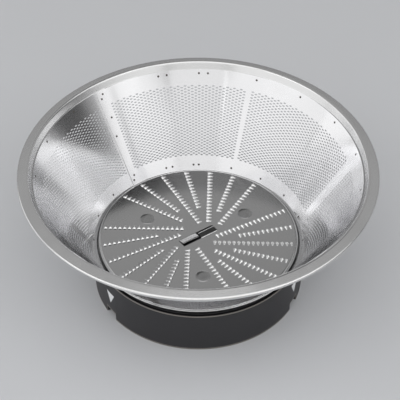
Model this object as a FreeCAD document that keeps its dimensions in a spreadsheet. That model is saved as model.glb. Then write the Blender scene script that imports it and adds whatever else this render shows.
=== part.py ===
"""Filter basket of a centrifugal juicer: a perforated steel cone between a rolled rim and a grater disc,
on a moulded drive base. Millimetres, +Z up along the spin axis, Z = 0 where the base stands.

The basket spins anticlockwise seen from above, so every tooth has its lip on its anticlockwise side.
"""
import os

import FreeCAD, Part
import Sketcher

# Driving sizes: name, value (mm, degrees or a plain count) and what it measures.
SIZES = [
    ("base_height", 25.2, "moulded base, from the table to its top edge"),
    ("skirt_wall", 2.8, "wall of the base's skirt"),
    ("ledge_width", 2.5, "top edge of the base outside the pan's channel"),
    ("web_thickness", 3.0, "web that closes the top of the base"),
    ("shoulder_width", 3.0, "shoulder that ends the socket below the web"),
    ("rib_depth", 2.6, "shoulder, ribs and hub, below the web"),
    ("rib_count", 6, "ribs under the web"),
    ("rib_thickness", 1.8, "one rib"),
    ("rib_angle", 30, "direction of the first rib"),
    ("hub_radius", 8.0, "boss in the middle of the web"),
    ("notch_width", 8.8, "notches in the foot of the skirt"),
    ("notch_height", 4.5, "notches in the foot of the skirt"),
    ("arrow_width", 7.0, "alignment arrows, across the top"),
    ("arrow_height", 7.2, "alignment arrows, top to tip"),
    ("arrow_top", 17.6, "top of the arrows, above the table"),
    ("arrow_depth", 0.5, "paint-filled recess of the arrows"),
    ("arrow_gap", 0.03, "room round the paint in its recess"),
    ("disc_radius", 54.1, "grater disc, to the edge of its plateau"),
    ("disc_draft", 0.2, "lean of the plateau's pressed side"),
    ("pan_sheet", 0.6, "sheet that the disc and its channel are pressed from"),
    ("channel_width", 0.2, "floor of the channel round the plateau"),
    ("channel_depth", 3.1, "plateau above the channel's floor"),
    ("pan_flange", 6.0, "sloped flange that the cone is welded into"),
    ("slot_length", 22.0, "slot of the centre cutter"),
    ("slot_width", 5.3, "slot of the centre cutter"),
    ("flap_width", 3.8, "cutter flap, in plan, from its bend to its edge"),
    ("flap_rise", 0.7, "edge of a cutter flap above the disc"),
    ("flap_gap", 0.4, "room at both ends of a cutter flap"),
    ("tooth_pitch", 2.56, "teeth along a row"),
    ("tooth_length", 3.5, "one tooth, from its lip to its tail"),
    ("tooth_width", 2.2, "one tooth, at the foot of its lip"),
    ("tooth_height", 1.0, "lip of a tooth above the disc"),
    ("tooth_root", 0.2, "depth to which a tooth joins the sheet"),
    ("row_margin", 3.9, "last tooth of a row, inside the edge of the plateau"),
    ("row_clear", 0.6, "first tooth of a long row, past the end of the cutter's slot"),
    ("short_start", 24.0, "distance from the centre at which a short row begins"),
    ("row_offset", 5.4, "distance by which a row misses the centre"),
    ("row_angle", 8.9, "direction of the row position beside the first stud"),
    ("long_rows", 12, "rows that reach the centre"),
    ("stud_count", 3, "weld studs, notches and arrows"),
    ("stud_circle", 31.0, "radius on which the studs stand"),
    ("stud_radius", 2.0, "threaded shank"),
    ("stud_tail", 0.3, "stud below its nut"),
    ("stud_clearance", 0.2, "room round a stud in the base"),
    ("thread_gap", 0.05, "room round a stud in its nut"),
    ("nut_flats", 7.0, "nut, across its flats"),
    ("nut_height", 2.0, "nut"),
    ("cone_angle", 56.9, "slope of the cone, from level"),
    ("sheet_thickness", 0.5, "perforated sheet"),
    ("weld_gap", 0.05, "room between the sheet and what it is welded to"),
    ("sheet_foot", 1.2, "foot of the sheet above the flange's bend, along the slope"),
    ("sheet_slant", 57.9, "perforated sheet, along the slope"),
    ("lap_foot", 0.8, "foot of the lap above the foot of the sheet, along the slope"),
    ("lower_margin", 8.6, "plain band at the foot of the sheet"),
    ("upper_margin", 8.4, "plain band at the head of the sheet"),
    ("panel_count", 6, "perforated fields"),
    ("panel_slots", 10, "gaps in one field"),
    ("slot_angle", 3.2, "one gap"),
    ("strip_angle", 5.0, "plain strip between two fields"),
    ("seam_angle", 95.0, "direction of the strip with the lap seam"),
    ("lap_angle", 4.4, "lap of the sheet's two ends"),
    ("rim_sheet", 0.7, "sheet that the rim is spun from"),
    ("collar_overlap", 5.0, "rim's collar below the head of the sheet, along the slope"),
    ("collar_rise", 5.2, "rim's collar above the head of the sheet, along the slope"),
    ("crest_round", 0.9, "turn from the collar to the rim's flange"),
    ("flange_angle", 18.0, "rim's flange, down from level"),
    ("flange_width", 4.93, "rim's flange, from the crest to the bead"),
    ("bead_radius", 1.0, "rolled bead at the rim's edge"),
]

# Sizes worked out from those above, so that pieces which meet share one value.
WORKED = [
    ("floor_top", "Sizes.base_height + Sizes.pan_sheet"),
    ("disc_top", "floor_top + Sizes.channel_depth"),
    ("disc_under", "disc_top - Sizes.pan_sheet"),
    ("channel_radius", "Sizes.disc_radius + Sizes.disc_draft + Sizes.channel_width"),
    ("slope_run", "cos(Sizes.cone_angle)"),
    ("slope_rise", "sin(Sizes.cone_angle)"),
    ("sheet_head", "Sizes.sheet_foot + Sizes.sheet_slant"),
    ("sheet_inside", "Sizes.weld_gap + Sizes.sheet_thickness"),
    ("crest_slant", "sheet_head + Sizes.collar_rise"),
    ("crest_radius", "channel_radius + crest_slant * slope_run"),
    ("crest_height", "floor_top + crest_slant * slope_rise"),
    ("flange_run", "cos(Sizes.flange_angle)"),
    ("flange_fall", "sin(Sizes.flange_angle)"),
    ("crest_turn", "tan((Sizes.cone_angle + Sizes.flange_angle) / 2)"),
    ("base_radius", "channel_radius + Sizes.ledge_width"),
    ("socket_radius", "base_radius - Sizes.skirt_wall"),
    ("shoulder_radius", "socket_radius - Sizes.shoulder_width"),
    ("web_under", "Sizes.base_height - Sizes.web_thickness"),
    ("socket_depth", "web_under - Sizes.rib_depth"),
    ("stud_length", "disc_under - web_under + Sizes.nut_height + Sizes.stud_tail"),
    ("row_step", "180 / Sizes.long_rows"),
    ("row_reach", "Sizes.disc_radius - Sizes.row_margin"),
    ("long_run", "row_reach - Sizes.slot_length / 2 - Sizes.row_clear"),
    ("long_teeth", "floor(long_run / Sizes.tooth_pitch) + 1"),
    ("short_teeth", "floor((row_reach - Sizes.short_start) / Sizes.tooth_pitch) + 1"),
    ("stud_step", "360 / Sizes.stud_count"),
    ("panel_angle", "360 / Sizes.panel_count"),
    ("slot_step", "(panel_angle - Sizes.strip_angle) / Sizes.panel_slots"),
]

SLOPE = {"run": "Worked.slope_run", "rise": "Worked.slope_rise"}
doc = FreeCAD.newDocument("filter_basket")


def fill_sheets():
    """One sheet with the driving sizes as plain numbers, one with what follows from them."""
    sizes = doc.addObject("Spreadsheet::Sheet", "Sizes")
    for row, (name, value, meaning) in enumerate(SIZES, start=1):
        sizes.set(f"A{row}", meaning)
        sizes.set(f"B{row}", str(value))
        sizes.setAlias(f"B{row}", name)
    doc.recompute()
    worked = doc.addObject("Spreadsheet::Sheet", "Worked")
    for row, (name, formula) in enumerate(WORKED, start=1):
        worked.set(f"B{row}", "=" + formula)
        worked.setAlias(f"B{row}", name)
        doc.recompute()
    return worked


worked = fill_sheets()


def number(expression):
    """Present value of a sheet expression."""
    return float(worked.evalExpression(expression))


def new_body(name):
    """Empty body whose label is the node's name."""
    body = doc.addObject("PartDesign::Body", name)
    body.Label = name
    return body


def origin_feature(body, role):
    """Plane or axis of the body's own origin."""
    return next(item for item in body.Origin.OriginFeatures if item.Role == role)


def new_sketch(body, plane, name, lift="0", turn="0"):
    """Sketch on an origin plane, turned about Z by turn and then moved along its own normal by lift."""
    sketch = body.newObject("Sketcher::SketchObject", name)
    sketch.AttachmentSupport = [(origin_feature(body, plane), "")]
    sketch.MapMode = "FlatFace"
    upright = plane != "XY_Plane"
    axis = FreeCAD.Vector(0, 1, 0) if upright else FreeCAD.Vector(0, 0, 1)
    sketch.AttachmentOffset = FreeCAD.Placement(FreeCAD.Vector(), FreeCAD.Rotation(axis, number(turn)))
    if turn != "0":
        sketch.setExpression("AttachmentOffset.Rotation.Angle", turn)
    if upright:
        sketch.setExpression("AttachmentOffset.Base.x", f"({lift}) * sin({turn})")
        sketch.setExpression("AttachmentOffset.Base.z", f"({lift}) * cos({turn})")
    else:
        sketch.setExpression("AttachmentOffset.Base.z", lift)
    return sketch


def tie(sketch, geometry, point, across, up):
    """Hold one point of a sketch at two sheet expressions, measured from the sketch's origin."""
    for kind, expression, axis in (("DistanceX", across, -2), ("DistanceY", up, -1)):
        if expression == "0":
            sketch.addConstraint(Sketcher.Constraint("PointOnObject", geometry, point, axis))
            continue
        index = sketch.addConstraint(
            Sketcher.Constraint(kind, -1, 1, geometry, point, number(expression)))
        sketch.setExpression(f"Constraints[{index}]", expression)


def outline(sketch, corners):
    """Closed outline of straight lines through corners, each a pair of sheet expressions."""
    points = [FreeCAD.Vector(number(x), number(y), 0) for x, y in corners]
    count = len(points)
    for i in range(count):
        sketch.addGeometry(Part.LineSegment(points[i], points[(i + 1) % count]), False)
    for i in range(count):
        sketch.addConstraint(Sketcher.Constraint("Coincident", i, 2, (i + 1) % count, 1))
        tie(sketch, i, 1, *corners[i])
    return sketch


def circle(sketch, across, up, radius):
    """Circle held at two sheet expressions, with its radius from a third."""
    middle = FreeCAD.Vector(number(across), number(up), 0)
    ring = sketch.addGeometry(Part.Circle(middle, FreeCAD.Vector(0, 0, 1), number(radius)), False)
    tie(sketch, ring, 3, across, up)
    index = sketch.addConstraint(Sketcher.Constraint("Radius", ring, number(radius)))
    sketch.setExpression(f"Constraints[{index}]", radius)
    return sketch


def rectangle(sketch, left, right, low, high):
    """Rectangle between four sheet expressions."""
    return outline(sketch, [(left, low), (right, low), (right, high), (left, high)])


def revolve(body, kind, name, sketch, angle="360"):
    """Revolution or groove of a sketch about Z, to both sides of its plane."""
    feature = body.newObject(f"PartDesign::{kind}", name)
    feature.Profile = sketch
    feature.ReferenceAxis = (sketch, ["V_Axis"])
    feature.Midplane = True
    feature.setExpression("Angle", angle)
    return feature


def extrude(body, kind, name, sketch, length, back=False):
    """Pad or pocket of a sketch by a sheet expression."""
    feature = body.newObject(f"PartDesign::{kind}", name)
    feature.Profile = sketch
    feature.Reversed = back
    feature.setExpression("Length", length)
    return feature


def polar(body, name, count, step):
    """Copies turned about Z, a step apart."""
    pattern = body.newObject("PartDesign::PolarPattern", name)
    pattern.Axis = (origin_feature(body, "Z_Axis"), [""])
    pattern.Mode = "Spacing"
    pattern.setExpression("Offset", step)
    pattern.setExpression("Occurrences", count)
    return pattern


def polar_copies(body, name, features, count, step):
    """Pattern of features about Z that becomes the body's tip."""
    pattern = polar(body, name, count, step)
    pattern.Originals = features
    body.Tip = pattern
    return pattern


def volume_of(feature):
    """Volume of a feature once the document is up to date."""
    doc.recompute()
    return feature.Shape.Volume


def must_change(before, feature, grows):
    """Stop if a feature left the volume as it was, or changed it the wrong way."""
    after = volume_of(feature)
    if (after > before) != grows or after == before:
        raise RuntimeError(f"{feature.Label} changed nothing: {before} to {after}")


def on_slope(slant, off="0"):
    """Point on the slope from the channel's bend: slant up it, and off outwards at a right angle to it."""
    return ("Worked.channel_radius + ({s}) * {run} + ({o}) * {rise}".format(s=slant, o=off, **SLOPE),
            "Worked.floor_top + ({s}) * {rise} - ({o}) * {run}".format(s=slant, o=off, **SLOPE))


def make_drive_base():
    """Moulded cup turned upside down: skirt round a socket, web with a shoulder, hub and ribs, notched foot."""
    body = new_body("drive_base")
    section = outline(new_sketch(body, "XZ_Plane", "base_section"), [
        ("Worked.base_radius", "0"),
        ("Worked.base_radius", "Sizes.base_height"),
        ("0", "Sizes.base_height"),
        ("0", "Worked.web_under"),
        ("Worked.shoulder_radius", "Worked.web_under"),
        ("Worked.shoulder_radius", "Worked.socket_depth"),
        ("Worked.socket_radius", "Worked.socket_depth"),
        ("Worked.socket_radius", "0"),
    ])
    before = volume_of(revolve(body, "Revolution", "base_cup", section))
    hub_plan = circle(new_sketch(body, "XY_Plane", "hub_circle", "Worked.web_under"),
                      "0", "0", "Sizes.hub_radius")
    extrude(body, "Pad", "hub", hub_plan, "Sizes.rib_depth", back=True)
    rib_plan = rectangle(
        new_sketch(body, "XY_Plane", "rib_plan", "Worked.web_under", "Sizes.rib_angle"),
        "0", "Worked.shoulder_radius + Sizes.shoulder_width / 2",
        "-Sizes.rib_thickness / 2", "Sizes.rib_thickness / 2")
    rib = extrude(body, "Pad", "rib", rib_plan, "Sizes.rib_depth", back=True)
    ribs = polar_copies(body, "ribs", [rib], "Sizes.rib_count", "360 / Sizes.rib_count")
    must_change(before, ribs, grows=True)
    before = volume_of(ribs)
    hole_plan = circle(new_sketch(body, "XY_Plane", "hole_circle", "Sizes.base_height"),
                       "Sizes.stud_circle", "0", "Sizes.stud_radius + Sizes.stud_clearance")
    hole = extrude(body, "Pocket", "stud_hole", hole_plan, "Sizes.web_thickness")
    notch_plan = rectangle(new_sketch(body, "YZ_Plane", "notch_front"),
                           "-Sizes.notch_width / 2", "Sizes.notch_width / 2", "0", "Sizes.notch_height")
    notch = extrude(body, "Pocket", "notch", notch_plan, "Worked.base_radius")
    arrow = extrude(body, "Pocket", "arrow_recess", arrow_outline(body, "arrow_front", "0"),
                    "Sizes.arrow_depth")
    cut = polar_copies(body, "cuts", [hole, notch, arrow], "Sizes.stud_count", "Worked.stud_step")
    must_change(before, cut, grows=False)
    return body


def arrow_outline(body, name, gap):
    """Triangle with its tip down on the skirt's far side, drawn at the floor of the recess."""
    half = f"(Sizes.arrow_width / 2 - 2 * ({gap}))"
    sketch = new_sketch(body, "YZ_Plane", name)
    sketch.setExpression("AttachmentOffset.Base.z", f"-(Worked.base_radius - Sizes.arrow_depth + ({gap}))")
    return outline(sketch, [
        (f"-{half}", f"Sizes.arrow_top - ({gap})"),
        (half, f"Sizes.arrow_top - ({gap})"),
        ("0", f"Sizes.arrow_top - Sizes.arrow_height + 2 * ({gap})"),
    ])


def make_arrow_marks():
    """White paint that fills the arrow recesses, flush with the skirt."""
    body = new_body("arrow_marks")
    body.AllowCompound = True
    plan = arrow_outline(body, "mark_front", "Sizes.arrow_gap")
    mark = extrude(body, "Pad", "mark", plan, "Sizes.arrow_depth", back=True)
    outside = rectangle(new_sketch(body, "XZ_Plane", "outside_section"),
                        "Worked.base_radius", "Worked.base_radius + Sizes.skirt_wall",
                        "0", "Sizes.base_height")
    before = volume_of(mark)
    trim = revolve(body, "Groove", "outside_trim", outside)
    must_change(before, trim, grows=False)
    polar_copies(body, "marks", [mark, trim], "Sizes.stud_count", "Worked.stud_step")
    return body


def make_grater_disc():
    """Pressed pan: plateau with teeth and a lanced cutter, channel round it, and a sloped flange."""
    body = new_body("grater_disc")
    section = outline(new_sketch(body, "XZ_Plane", "pan_section"), [
        ("0", "Worked.disc_top"),
        ("Sizes.disc_radius", "Worked.disc_top"),
        ("Sizes.disc_radius + Sizes.disc_draft", "Worked.floor_top"),
        ("Worked.channel_radius", "Worked.floor_top"),
        on_slope("Sizes.pan_flange"),
        on_slope("Sizes.pan_flange", "Sizes.pan_sheet"),
        ("Worked.channel_radius + Sizes.pan_sheet * (1 - Worked.slope_run) / Worked.slope_rise",
         "Sizes.base_height"),
        ("Sizes.disc_radius + Sizes.disc_draft - Sizes.pan_sheet", "Sizes.base_height"),
        ("Sizes.disc_radius - Sizes.pan_sheet", "Worked.disc_under"),
        ("0", "Worked.disc_under"),
    ])
    before = volume_of(revolve(body, "Revolution", "pan", section))
    slot_plan = rectangle(new_sketch(body, "XY_Plane", "slot_plan", "Worked.disc_top"),
                          "-Sizes.slot_length / 2", "Sizes.slot_length / 2",
                          "-Sizes.slot_width / 2", "Sizes.slot_width / 2")
    slot = extrude(body, "Pocket", "cutter_slot", slot_plan, "Sizes.pan_sheet")
    must_change(before, slot, grows=False)
    before = volume_of(slot)
    flap_section = outline(new_sketch(body, "YZ_Plane", "flap_section"), [
        ("-Sizes.slot_width / 2", "Worked.disc_under"),
        ("-Sizes.slot_width / 2 + Sizes.flap_width", "Worked.disc_under + Sizes.flap_rise"),
        ("-Sizes.slot_width / 2 + Sizes.flap_width", "Worked.disc_top + Sizes.flap_rise"),
        ("-Sizes.slot_width / 2", "Worked.disc_top"),
    ])
    flap_section.setExpression("AttachmentOffset.Base.z", "Sizes.flap_gap")
    flap = extrude(body, "Pad", "cutter_flap", flap_section, "Sizes.slot_length / 2 - 2 * Sizes.flap_gap")
    flaps = polar_copies(body, "cutter_flaps", [flap], "2", "180")
    must_change(before, flaps, grows=True)
    sector_rows = "Sizes.long_rows / Sizes.stud_count"
    tooth_rows(body, "long", "Sizes.row_angle + Worked.row_step", "Worked.long_teeth",
               [("Sizes.long_rows", "2 * Worked.row_step")])
    tooth_rows(body, "short", "Sizes.row_angle + 2 * Worked.row_step", "Worked.short_teeth",
               [(sector_rows + " - 1", "2 * Worked.row_step"), ("Sizes.stud_count", "Worked.stud_step")])
    return body


def tooth_rows(body, name, turn, teeth, turns):
    """Rows of pressed teeth: one tooth at the row's outer end, copied inwards and then about Z."""
    before = volume_of(body.Tip)
    foot = "Worked.disc_top - Sizes.tooth_root"
    lip = outline(new_sketch(body, "XZ_Plane", f"{name}_lip",
                             "Sizes.row_offset - Sizes.tooth_length / 2", turn), [
        ("Worked.row_reach - Sizes.tooth_width / 2", foot),
        ("Worked.row_reach + Sizes.tooth_width / 2", foot),
        ("Worked.row_reach", "Worked.disc_top + Sizes.tooth_height"),
    ])
    tail = new_sketch(body, "XZ_Plane", f"{name}_tail", "Sizes.row_offset + Sizes.tooth_length / 2", turn)
    tip = tail.addGeometry(Part.Point(FreeCAD.Vector(number("Worked.row_reach"), number(foot), 0)), False)
    tie(tail, tip, 1, "Worked.row_reach", foot)
    tooth = body.newObject("PartDesign::AdditiveLoft", f"{name}_tooth")
    tooth.Profile = lip
    tooth.Sections = [(tail, ["Vertex1"])]
    tooth.Ruled = True
    doc.recompute()
    along = body.newObject("PartDesign::LinearPattern", f"{name}_row")
    along.Direction = (lip, ["H_Axis"])
    along.Reversed = True
    along.Mode = "Spacing"
    along.setExpression("Offset", "Sizes.tooth_pitch")
    along.setExpression("Occurrences", teeth)
    rounds = [polar(body, f"{name}_round_{i}", count, step) for i, (count, step) in enumerate(turns)]
    rows = body.newObject("PartDesign::MultiTransform", f"{name}_rows")
    rows.Originals = [tooth]
    rows.Transformations = [along] + rounds
    body.Tip = rows
    must_change(before, rows, grows=True)
    return rows


def make_mesh_cone():
    """Rolled sheet with a lap seam, and a field of upright gaps in each panel."""
    body = new_body("mesh_cone")
    foot, head = "Sizes.sheet_foot", "Worked.sheet_head"
    outer, inner = "-Sizes.weld_gap", "-Worked.sheet_inside"
    section = outline(new_sketch(body, "XZ_Plane", "sheet_section"), [
        on_slope(foot, outer), on_slope(head, outer), on_slope(head, inner), on_slope(foot, inner)])
    revolve(body, "Revolution", "sheet", section)
    lapped = f"{inner} - Sizes.sheet_thickness"
    lap_section = outline(new_sketch(body, "XZ_Plane", "lap_section", turn="Sizes.seam_angle"), [
        on_slope(f"{foot} + Sizes.lap_foot", inner), on_slope(head, inner),
        on_slope(head, lapped), on_slope(f"{foot} + Sizes.lap_foot", lapped)])
    before = volume_of(revolve(body, "Revolution", "lap", lap_section, "Sizes.lap_angle"))
    low, high = f"{foot} + Sizes.lower_margin", f"{head} - Sizes.upper_margin"
    first = "Sizes.seam_angle + Sizes.strip_angle / 2 + Worked.slot_step / 2"
    clear = "Sizes.sheet_thickness"
    gap_section = outline(new_sketch(body, "XZ_Plane", "gap_section", turn=first), [
        on_slope(low, clear), on_slope(high, clear),
        on_slope(high, f"{inner} - {clear}"), on_slope(low, f"{inner} - {clear}")])
    gap = revolve(body, "Groove", "gap", gap_section, "Sizes.slot_angle")
    doc.recompute()
    gaps = body.newObject("PartDesign::MultiTransform", "gaps")
    gaps.Originals = [gap]
    gaps.Transformations = [polar(body, "field", "Sizes.panel_slots", "Worked.slot_step"),
                            polar(body, "fields", "Sizes.panel_count", "Worked.panel_angle")]
    body.Tip = gaps
    must_change(before, gaps, grows=False)
    return body


def make_rim_ring():
    """Spun rim: collar that the sheet is welded into, crest, flange that falls outwards, rolled bead."""
    body = new_body("rim_ring")
    foot = "Worked.sheet_head - Sizes.collar_overlap"

    def on_flange(out, under="0"):
        """Point on the flange: out along it from the crest, and under it at a right angle."""
        return (f"Worked.crest_radius + ({out}) * Worked.flange_run - ({under}) * Worked.flange_fall",
                f"Worked.crest_height - ({out}) * Worked.flange_fall - ({under}) * Worked.flange_run")

    section = outline(new_sketch(body, "XZ_Plane", "rim_section"), [
        on_slope(foot),
        on_slope("Worked.crest_slant - Sizes.crest_round"),
        on_flange("Sizes.crest_round"),
        on_flange("Sizes.flange_width"),
        on_flange("Sizes.flange_width + Sizes.bead_radius", "Sizes.bead_radius"),
        on_flange("Sizes.flange_width", "2 * Sizes.bead_radius"),
        on_flange("Sizes.flange_width - Sizes.bead_radius", "Sizes.rim_sheet"),
        on_slope("Worked.crest_slant - Sizes.rim_sheet * Worked.crest_turn", "Sizes.rim_sheet"),
        on_slope(foot, "Sizes.rim_sheet"),
    ])
    revolve(body, "Revolution", "rim", section)
    return body


def make_weld_studs():
    """Studs welded under the disc, which reach down through the web."""
    body = new_body("weld_studs")
    body.AllowCompound = True
    shank_plan = circle(new_sketch(body, "XY_Plane", "shank_circle", "Worked.disc_under"),
                        "Sizes.stud_circle", "0", "Sizes.stud_radius")
    shank = extrude(body, "Pad", "shank", shank_plan, "Worked.stud_length", back=True)
    polar_copies(body, "studs", [shank], "Sizes.stud_count", "Worked.stud_step")
    return body


def make_stud_nuts():
    """Thin hexagon nuts on the studs, against the web."""
    body = new_body("stud_nuts")
    body.AllowCompound = True
    plan = new_sketch(body, "XY_Plane", "nut_plan", "Worked.web_under")
    corner = "Sizes.nut_flats / sqrt(3)"
    outline(plan, [(f"Sizes.stud_circle + {corner} * cos({angle})",
                    f"{corner} * sin({angle})" if angle % 180 else "0") for angle in range(0, 360, 60)])
    circle(plan, "Sizes.stud_circle", "0", "Sizes.stud_radius + Sizes.thread_gap")
    nut = extrude(body, "Pad", "nut", plan, "Sizes.nut_height", back=True)
    polar_copies(body, "nuts", [nut], "Sizes.stud_count", "Worked.stud_step")
    return body


def check(pieces):
    """Stop on any failed feature, or on a piece without a sound shape."""
    doc.recompute()
    for item in doc.Objects:
        if "Invalid" in item.State or "Error" in item.State:
            raise RuntimeError(f"{item.Label} failed: {item.State}")
    for piece in pieces:
        if piece.Shape.isNull() or not piece.Shape.isValid() or not piece.Shape.Solids:
            raise RuntimeError(f"{piece.Label} has no sound shape")


def export(pieces):
    """One STEP file for each piece, named by its label."""
    os.makedirs("parts", exist_ok=True)
    for piece in pieces:
        piece.Shape.exportStep(f"parts/{piece.Label}.step")
        print(f"{piece.Label}: {len(piece.Shape.Solids)} solid(s), {piece.Shape.Volume:.1f} mm3")


pieces = [
    make_drive_base(),
    make_arrow_marks(),
    make_grater_disc(),
    make_mesh_cone(),
    make_rim_ring(),
    make_weld_studs(),
    make_stud_nuts(),
]
check(pieces)
export(pieces)
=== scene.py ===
"""Looks of a centrifugal juicer's filter basket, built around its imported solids.

Metres, +Z up along the spin axis, Z = 0 where the drive base stands. The basket is a cone of perforated
sheet, welded into a spun rim above and into the pan of a grater disc below, on a moulded drive base.
"""
import math

import bmesh
import bpy
import numpy as np
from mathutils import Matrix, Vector


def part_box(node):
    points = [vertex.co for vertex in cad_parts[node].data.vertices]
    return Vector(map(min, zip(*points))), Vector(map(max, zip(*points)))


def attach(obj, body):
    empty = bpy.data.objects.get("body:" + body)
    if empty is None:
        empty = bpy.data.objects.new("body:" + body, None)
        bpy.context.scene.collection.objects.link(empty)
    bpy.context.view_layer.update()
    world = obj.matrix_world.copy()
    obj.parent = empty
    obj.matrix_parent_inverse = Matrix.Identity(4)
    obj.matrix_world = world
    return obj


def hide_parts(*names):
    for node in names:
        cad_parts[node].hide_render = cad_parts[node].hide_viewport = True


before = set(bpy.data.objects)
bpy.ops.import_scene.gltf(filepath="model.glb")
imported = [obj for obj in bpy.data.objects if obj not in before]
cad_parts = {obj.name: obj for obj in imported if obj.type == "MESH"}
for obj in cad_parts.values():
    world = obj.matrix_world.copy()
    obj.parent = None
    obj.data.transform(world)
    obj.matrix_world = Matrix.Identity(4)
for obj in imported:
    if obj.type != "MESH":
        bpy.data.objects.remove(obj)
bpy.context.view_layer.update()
base_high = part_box("drive_base")[1]

bl_info = {
    "name": "Juicer filter basket",
    "version": (1, 0, 0),
    "blender": (4, 5, 0),
    "location": "3D View > Sidebar > Basket",
    "description": "Perforated cone, spun rim, grater disc and drive base of a juicer's filter basket",
    "category": "Add Mesh",
}

MM = 0.001
BODY = "root"
# Steps of a full turn, and the distance in metres within which two points are one.
AROUND = 256
MERGE = 1e-7
# Lamps: name, degrees round from the camera, degrees up, distance and sides in metres, watts.
LAMPS = (
    ("top lamp", 0.0, 65.0, 1.7, (1.9, 1.76), 9.0),
    ("front lamp", 0.0, 24.0, 1.5, (0.95, 0.6), 1.05),
    ("left lamp", -57.0, 19.0, 1.5, (2.0, 0.95), 4.2),
    ("far left lamp", -108.0, 14.0, 1.5, (0.8, 0.64), 1.3),
    ("right lamp", 46.5, 22.0, 1.5, (1.30, 0.55), 1.6),
    ("left high lamp", -71.0, 43.0, 1.5, (0.9, 0.55), 1.8),
    ("right high lamp", 70.0, 43.0, 1.5, (1.2, 0.55), 2.3),
)
# Dark openings of the room: setting of the stage, degrees round from the camera, up and of radius.
OPENINGS = (("dark", 92.0, 3.0, 22.0), ("far_dark", 163.0, 58.0, 14.0))


def length(name, millimetres, description):
    """Length property, given in millimetres and kept in metres."""
    return bpy.props.FloatProperty(name=name, description=description, default=millimetres * MM,
                                   precision=5, unit="LENGTH")


def angle(name, degrees, description):
    """Angle property, given in degrees and kept in radians."""
    return bpy.props.FloatProperty(name=name, description=description, default=math.radians(degrees),
                                   precision=3, subtype="ANGLE")


def directions(name, degrees, description):
    """Several directions round Z, given in degrees and kept in radians."""
    return bpy.props.FloatVectorProperty(name=name, description=description, size=len(degrees),
                                         default=[math.radians(d) for d in degrees], unit="ROTATION")


def count(name, number, description):
    """Whole number property."""
    return bpy.props.IntProperty(name=name, description=description, default=number, min=1)


def colour(name, rgb, description):
    """Linear colour property."""
    return bpy.props.FloatVectorProperty(name=name, description=description, default=rgb, size=3,
                                         min=0.0, max=1.0, subtype="COLOR")


def share(name, value, description):
    """Plain number property from 0 to 1."""
    return bpy.props.FloatProperty(name=name, description=description, default=value, min=0.0, max=1.0)


class ConeSizes(bpy.types.PropertyGroup):
    """Perforated sheet, its fields of holes, its lap seam and its spot welds."""

    foot_radius: length("Foot radius", 54.5, "Radius at the bend where the slope begins")
    slope: angle("Slope", 56.9, "Slope of the cone, from level")
    sheet: length("Sheet", 0.5, "Thickness of the perforated sheet")
    weld_gap: length("Weld gap", 0.05, "Room between the sheet and what it is welded to")
    sheet_foot: length("Foot of the sheet", 1.2, "Foot of the sheet above the bend, along the slope")
    sheet_head: length("Head of the sheet", 59.1, "Head of the sheet above the bend, along the slope")
    field_foot: length("Foot of the fields", 9.8, "Foot of the perforated fields, along the slope")
    field_head: length("Head of the fields", 50.7, "Head of the perforated fields, along the slope")
    fields: count("Fields", 6, "Perforated fields round the cone")
    rows: count("Rows", 24, "Holes of one column, up the slope")
    pitch: length("Pitch", 1.77, "Columns of holes apart, at half height")
    hole_width: length("Hole width", 0.86, "Half width of one hole, round the cone")
    hole_height: length("Hole height", 0.40, "Half height of one hole, up the slope")
    seam: angle("Seam", 95.0, "Direction of the strip with the lap seam")
    strip: angle("Strip", 5.0, "Plain strip between two fields")
    thin_strip: angle("Thin strip", 2.0, "Narrower strip before the field that ends at the seam")
    lap_edge: angle("Lap edge", 1.6, "Edge of the upper lap past the middle of its strip")
    lap: angle("Lap", 4.4, "Overlap of the sheet's two ends")
    lap_ramp: angle("Lap ramp", 7.0, "Stretch over which the upper lap comes back to the slope")
    welds: count("Spot welds", 19, "Spot welds in one ring")
    weld_radius: length("Spot weld", 0.62, "Radius of one spot weld")
    upper_weld: angle("Upper welds", -24.0, "Direction of the first spot weld of the upper ring")
    lower_weld: angle("Lower welds", -20.6, "Direction of the first spot weld of the lower ring")
    upper_twins: directions("Upper twins", (67.5, 55.2), "Second welds beside two of the upper ring")
    lower_twins: directions("Lower twins", (70.4, 58.2), "Second welds beside two of the lower ring")
    weld_inset: length("Weld inset", 2.2, "Spot welds from the edge of the sheet, along the slope")
    seam_dots: bpy.props.FloatVectorProperty(
        name="Seam welds", description="Spot welds down the lap seam, as shares of the way down",
        default=(0.0, 0.045, 0.27, 0.48, 0.95, 1.0), size=6)


class RimSizes(bpy.types.PropertyGroup):
    """Spun rim."""

    sheet: length("Sheet", 0.7, "Thickness of the rim")
    collar_foot: length("Foot of the collar", 54.1, "Foot of the collar above the bend, along the slope")
    collar_bend: length("Collar bend", 59.5, "Bend of the collar just above the sheet, along the slope")
    crest: length("Crest", 63.8, "Crest of the rim above the bend, along the slope")
    lean: length("Lean", 0.5, "Crest inwards from the line of the slope")
    crest_round: length("Crest round", 1.25, "Radius of the turn at the crest")
    flange_fall: angle("Flange fall", 18.0, "Fall of the flange, outwards from level")
    flange: length("Flange", 5.2, "Flange, from the crest to the middle of the bead")
    bead: length("Bead", 1.15, "Radius of the rolled bead")


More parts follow.
